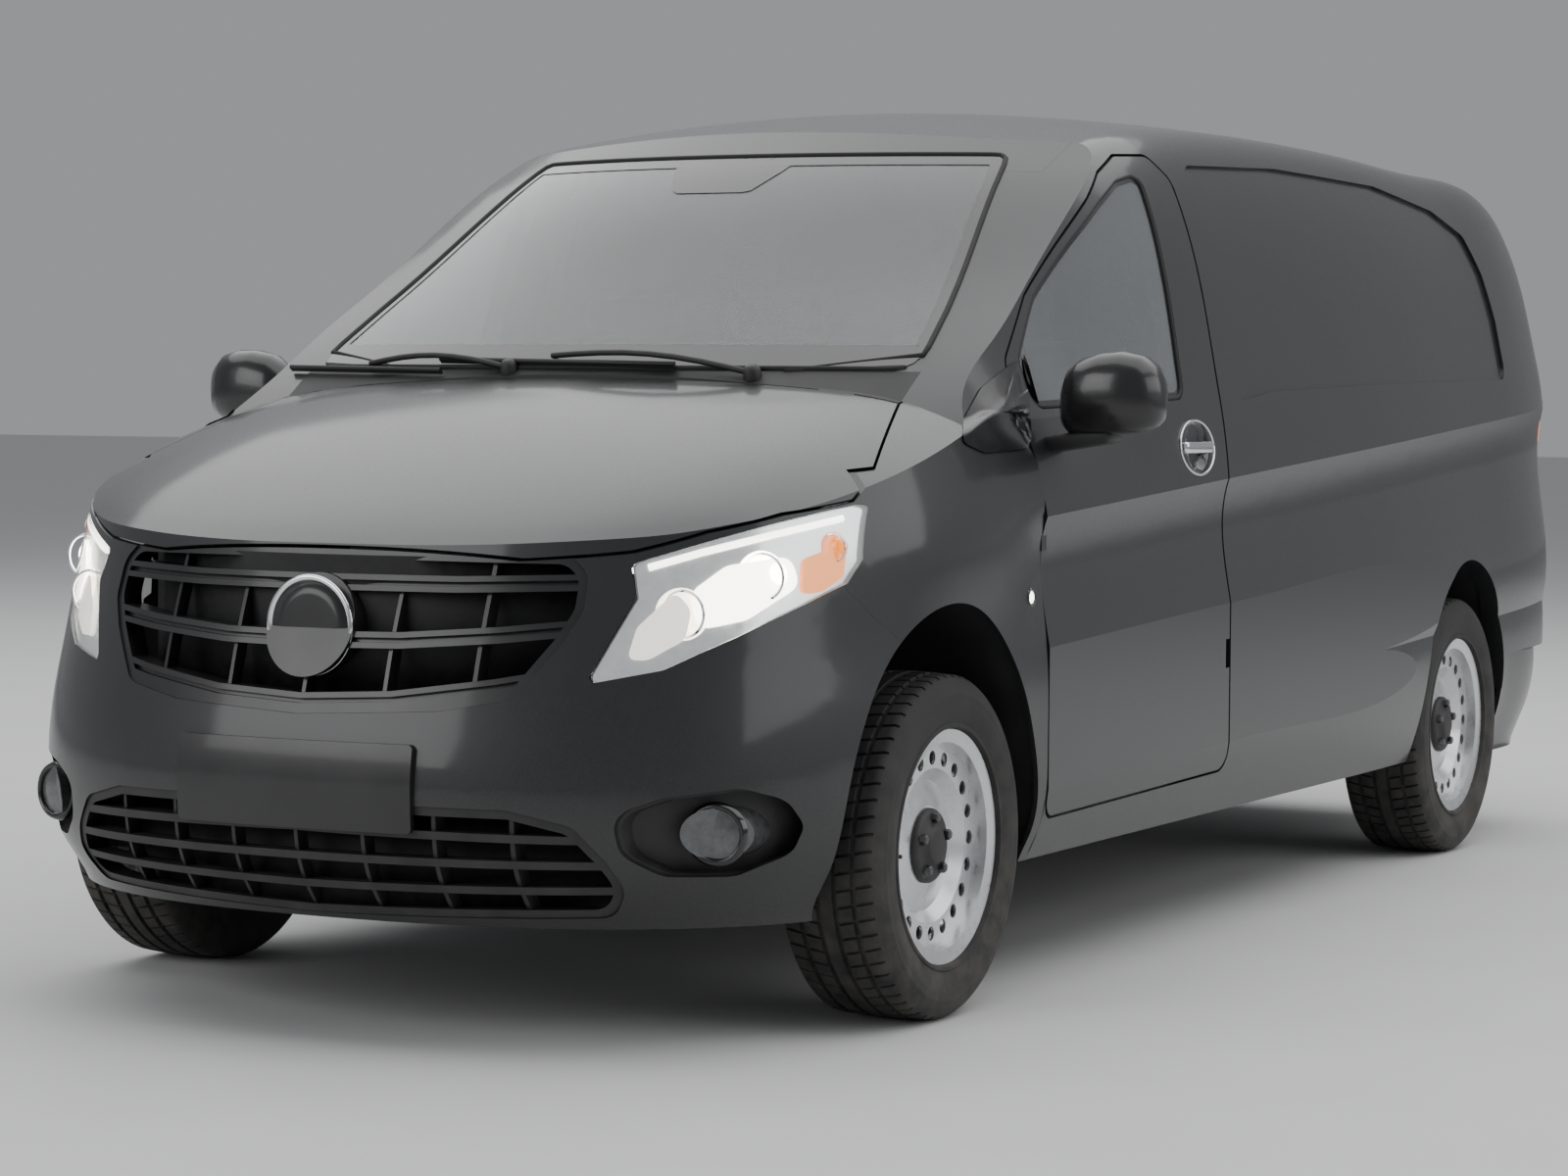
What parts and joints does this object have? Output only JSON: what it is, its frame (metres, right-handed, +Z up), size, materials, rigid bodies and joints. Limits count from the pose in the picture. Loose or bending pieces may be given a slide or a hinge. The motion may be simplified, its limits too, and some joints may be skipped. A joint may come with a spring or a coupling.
{
  "type": "panel van",
  "caption": "Panel van with hinged cab doors, twin rear doors, a hinged bonnet, steered front wheels and a hollow cab and load space.",
  "frame": {"origin": "on the ground below the middle of the overall length, on the centre plane", "axes": "+X to the nose, +Y to the vehicle's left, +Z up"},
  "size_m": [5.1383, 2.334, 1.8916],
  "materials": {
    "body_paint": "satin gloss charcoal",
    "black_plastic": "fine grain",
    "gloss_black": "gloss",
    "lamp_silver": "polished reflector",
    "clear_glass": "clear",
    "tail_red": "red lens",
    "rubber_black": "matt",
    "wheel_silver": "silver paint",
    "chassis_black": "matt black",
    "cast_grey": "as cast",
    "steel": "bare",
    "aluminium_grey": "cast",
    "interior_grey": "soft grain",
    "seat_cloth": "woven",
    "floor_grey": "primer",
    "tank_plastic": "moulded"
  },
  "bodies": {
    "body": {"arch_liners": "black_plastic", "bulkhead": "floor_grey", "chassis": "chassis_black", "cowl": "black_plastic", "dashboard": "interior_grey", "engine": "aluminium_grey", "exhaust": "steel", "floor": "floor_grey", "fog_surrounds": "black_plastic", "front_bumper": "body_paint", "fuel_tank": "tank_plastic", "grille": "gloss_black", "headlamp_lenses": "clear_glass", "headlamps": "lamp_silver", "lower_grille": "black_plastic", "plate_bracket": "black_plastic", "propshaft": "steel", "radiator": "aluminium_grey", "rear_axle": "chassis_black", "rear_bumper": "body_paint", "roof": "body_paint", "seat_bases": "interior_grey", "seats": "seat_cloth", "side_left": "body_paint", "side_right": "body_paint", "sliding_door": "body_paint", "small_lamps": "clear_glass", "struts": "chassis_black", "tail_lamps": "tail_red", "windscreen": "clear_glass", "wing_left": "body_paint", "wing_right": "body_paint"},
    "knuckle_left": {"knuckle_left": "cast_grey"},
    "knuckle_right": {"knuckle_right": "cast_grey"},
    "wheel_front_left": {"tyre_front_left": "rubber_black", "rim_front_left": "wheel_silver"},
    "wheel_front_right": {"tyre_front_right": "rubber_black", "rim_front_right": "wheel_silver"},
    "wheel_rear_left": {"tyre_rear_left": "rubber_black", "rim_rear_left": "wheel_silver"},
    "wheel_rear_right": {"tyre_rear_right": "rubber_black", "rim_rear_right": "wheel_silver"},
    "door_left": {"door_left": "body_paint", "door_glass_left": "clear_glass", "mirror_left": "black_plastic"},
    "door_right": {"door_right": "body_paint", "door_glass_right": "clear_glass", "mirror_right": "black_plastic"},
    "rear_door_left": {"rear_door_left": "body_paint"},
    "rear_door_right": {"rear_door_right": "body_paint"},
    "bonnet": {"bonnet": "body_paint"},
    "steering_wheel": {"steering_wheel": "interior_grey"}
  },
  "joints": [
    {"name": "steer_left", "type": "hinge", "parent": "body", "child": "knuckle_left", "pos_m": [1.675, 0.773, 0.339], "axis": [0, 0, 1], "range_deg": [-35, 35]},
    {"name": "steer_right", "type": "hinge", "parent": "body", "child": "knuckle_right", "pos_m": [1.675, -0.773, 0.339], "axis": [0, 0, 1], "range_deg": [-35, 35]},
    {"name": "steering_wheel_turn", "type": "hinge", "parent": "body", "child": "steering_wheel", "pos_m": [0.905, 0.385, 1.075], "axis": [-0.809, 0, 0.5878], "range_deg": [-525, 525]},
    {"name": "spin_front_left", "type": "hinge", "parent": "knuckle_left", "child": "wheel_front_left", "pos_m": [1.675, 0.833, 0.339], "axis": [0, 1, 0], "continuous": true},
    {"name": "spin_front_right", "type": "hinge", "parent": "knuckle_right", "child": "wheel_front_right", "pos_m": [1.675, -0.833, 0.339], "axis": [0, 1, 0], "continuous": true},
    {"name": "spin_rear_left", "type": "hinge", "parent": "body", "child": "wheel_rear_left", "pos_m": [-1.525, 0.823, 0.339], "axis": [0, 1, 0], "continuous": true},
    {"name": "spin_rear_right", "type": "hinge", "parent": "body", "child": "wheel_rear_right", "pos_m": [-1.525, -0.823, 0.339], "axis": [0, 1, 0], "continuous": true},
    {"name": "door_left_open", "type": "hinge", "parent": "body", "child": "door_left", "pos_m": [1.258, 0.962, 0.9], "axis": [0, 0, -1], "range_deg": [0, 68]},
    {"name": "door_right_open", "type": "hinge", "parent": "body", "child": "door_right", "pos_m": [1.258, -0.962, 0.9], "axis": [0, 0, 1], "range_deg": [0, 68]},
    {"name": "rear_door_left_open", "type": "hinge", "parent": "body", "child": "rear_door_left", "pos_m": [-2.54, 0.775, 0.65], "axis": [-0.0469, 0.0356, -0.9983], "range_deg": [0, 180]},
    {"name": "rear_door_right_open", "type": "hinge", "parent": "body", "child": "rear_door_right", "pos_m": [-2.54, -0.775, 0.65], "axis": [0.0469, 0.0356, 0.9983], "range_deg": [0, 180]},
    {"name": "bonnet_open", "type": "hinge", "parent": "body", "child": "bonnet", "pos_m": [1.508, 0, 1.247], "axis": [0, -1, 0], "range_deg": [0, 50]}
  ],
  "couplings": [
    {"joint": "steer_right", "follows": "steer_left", "ratio": 1},
    {"joint": "steering_wheel_turn", "follows": "steer_left", "ratio": 15}
  ]
}
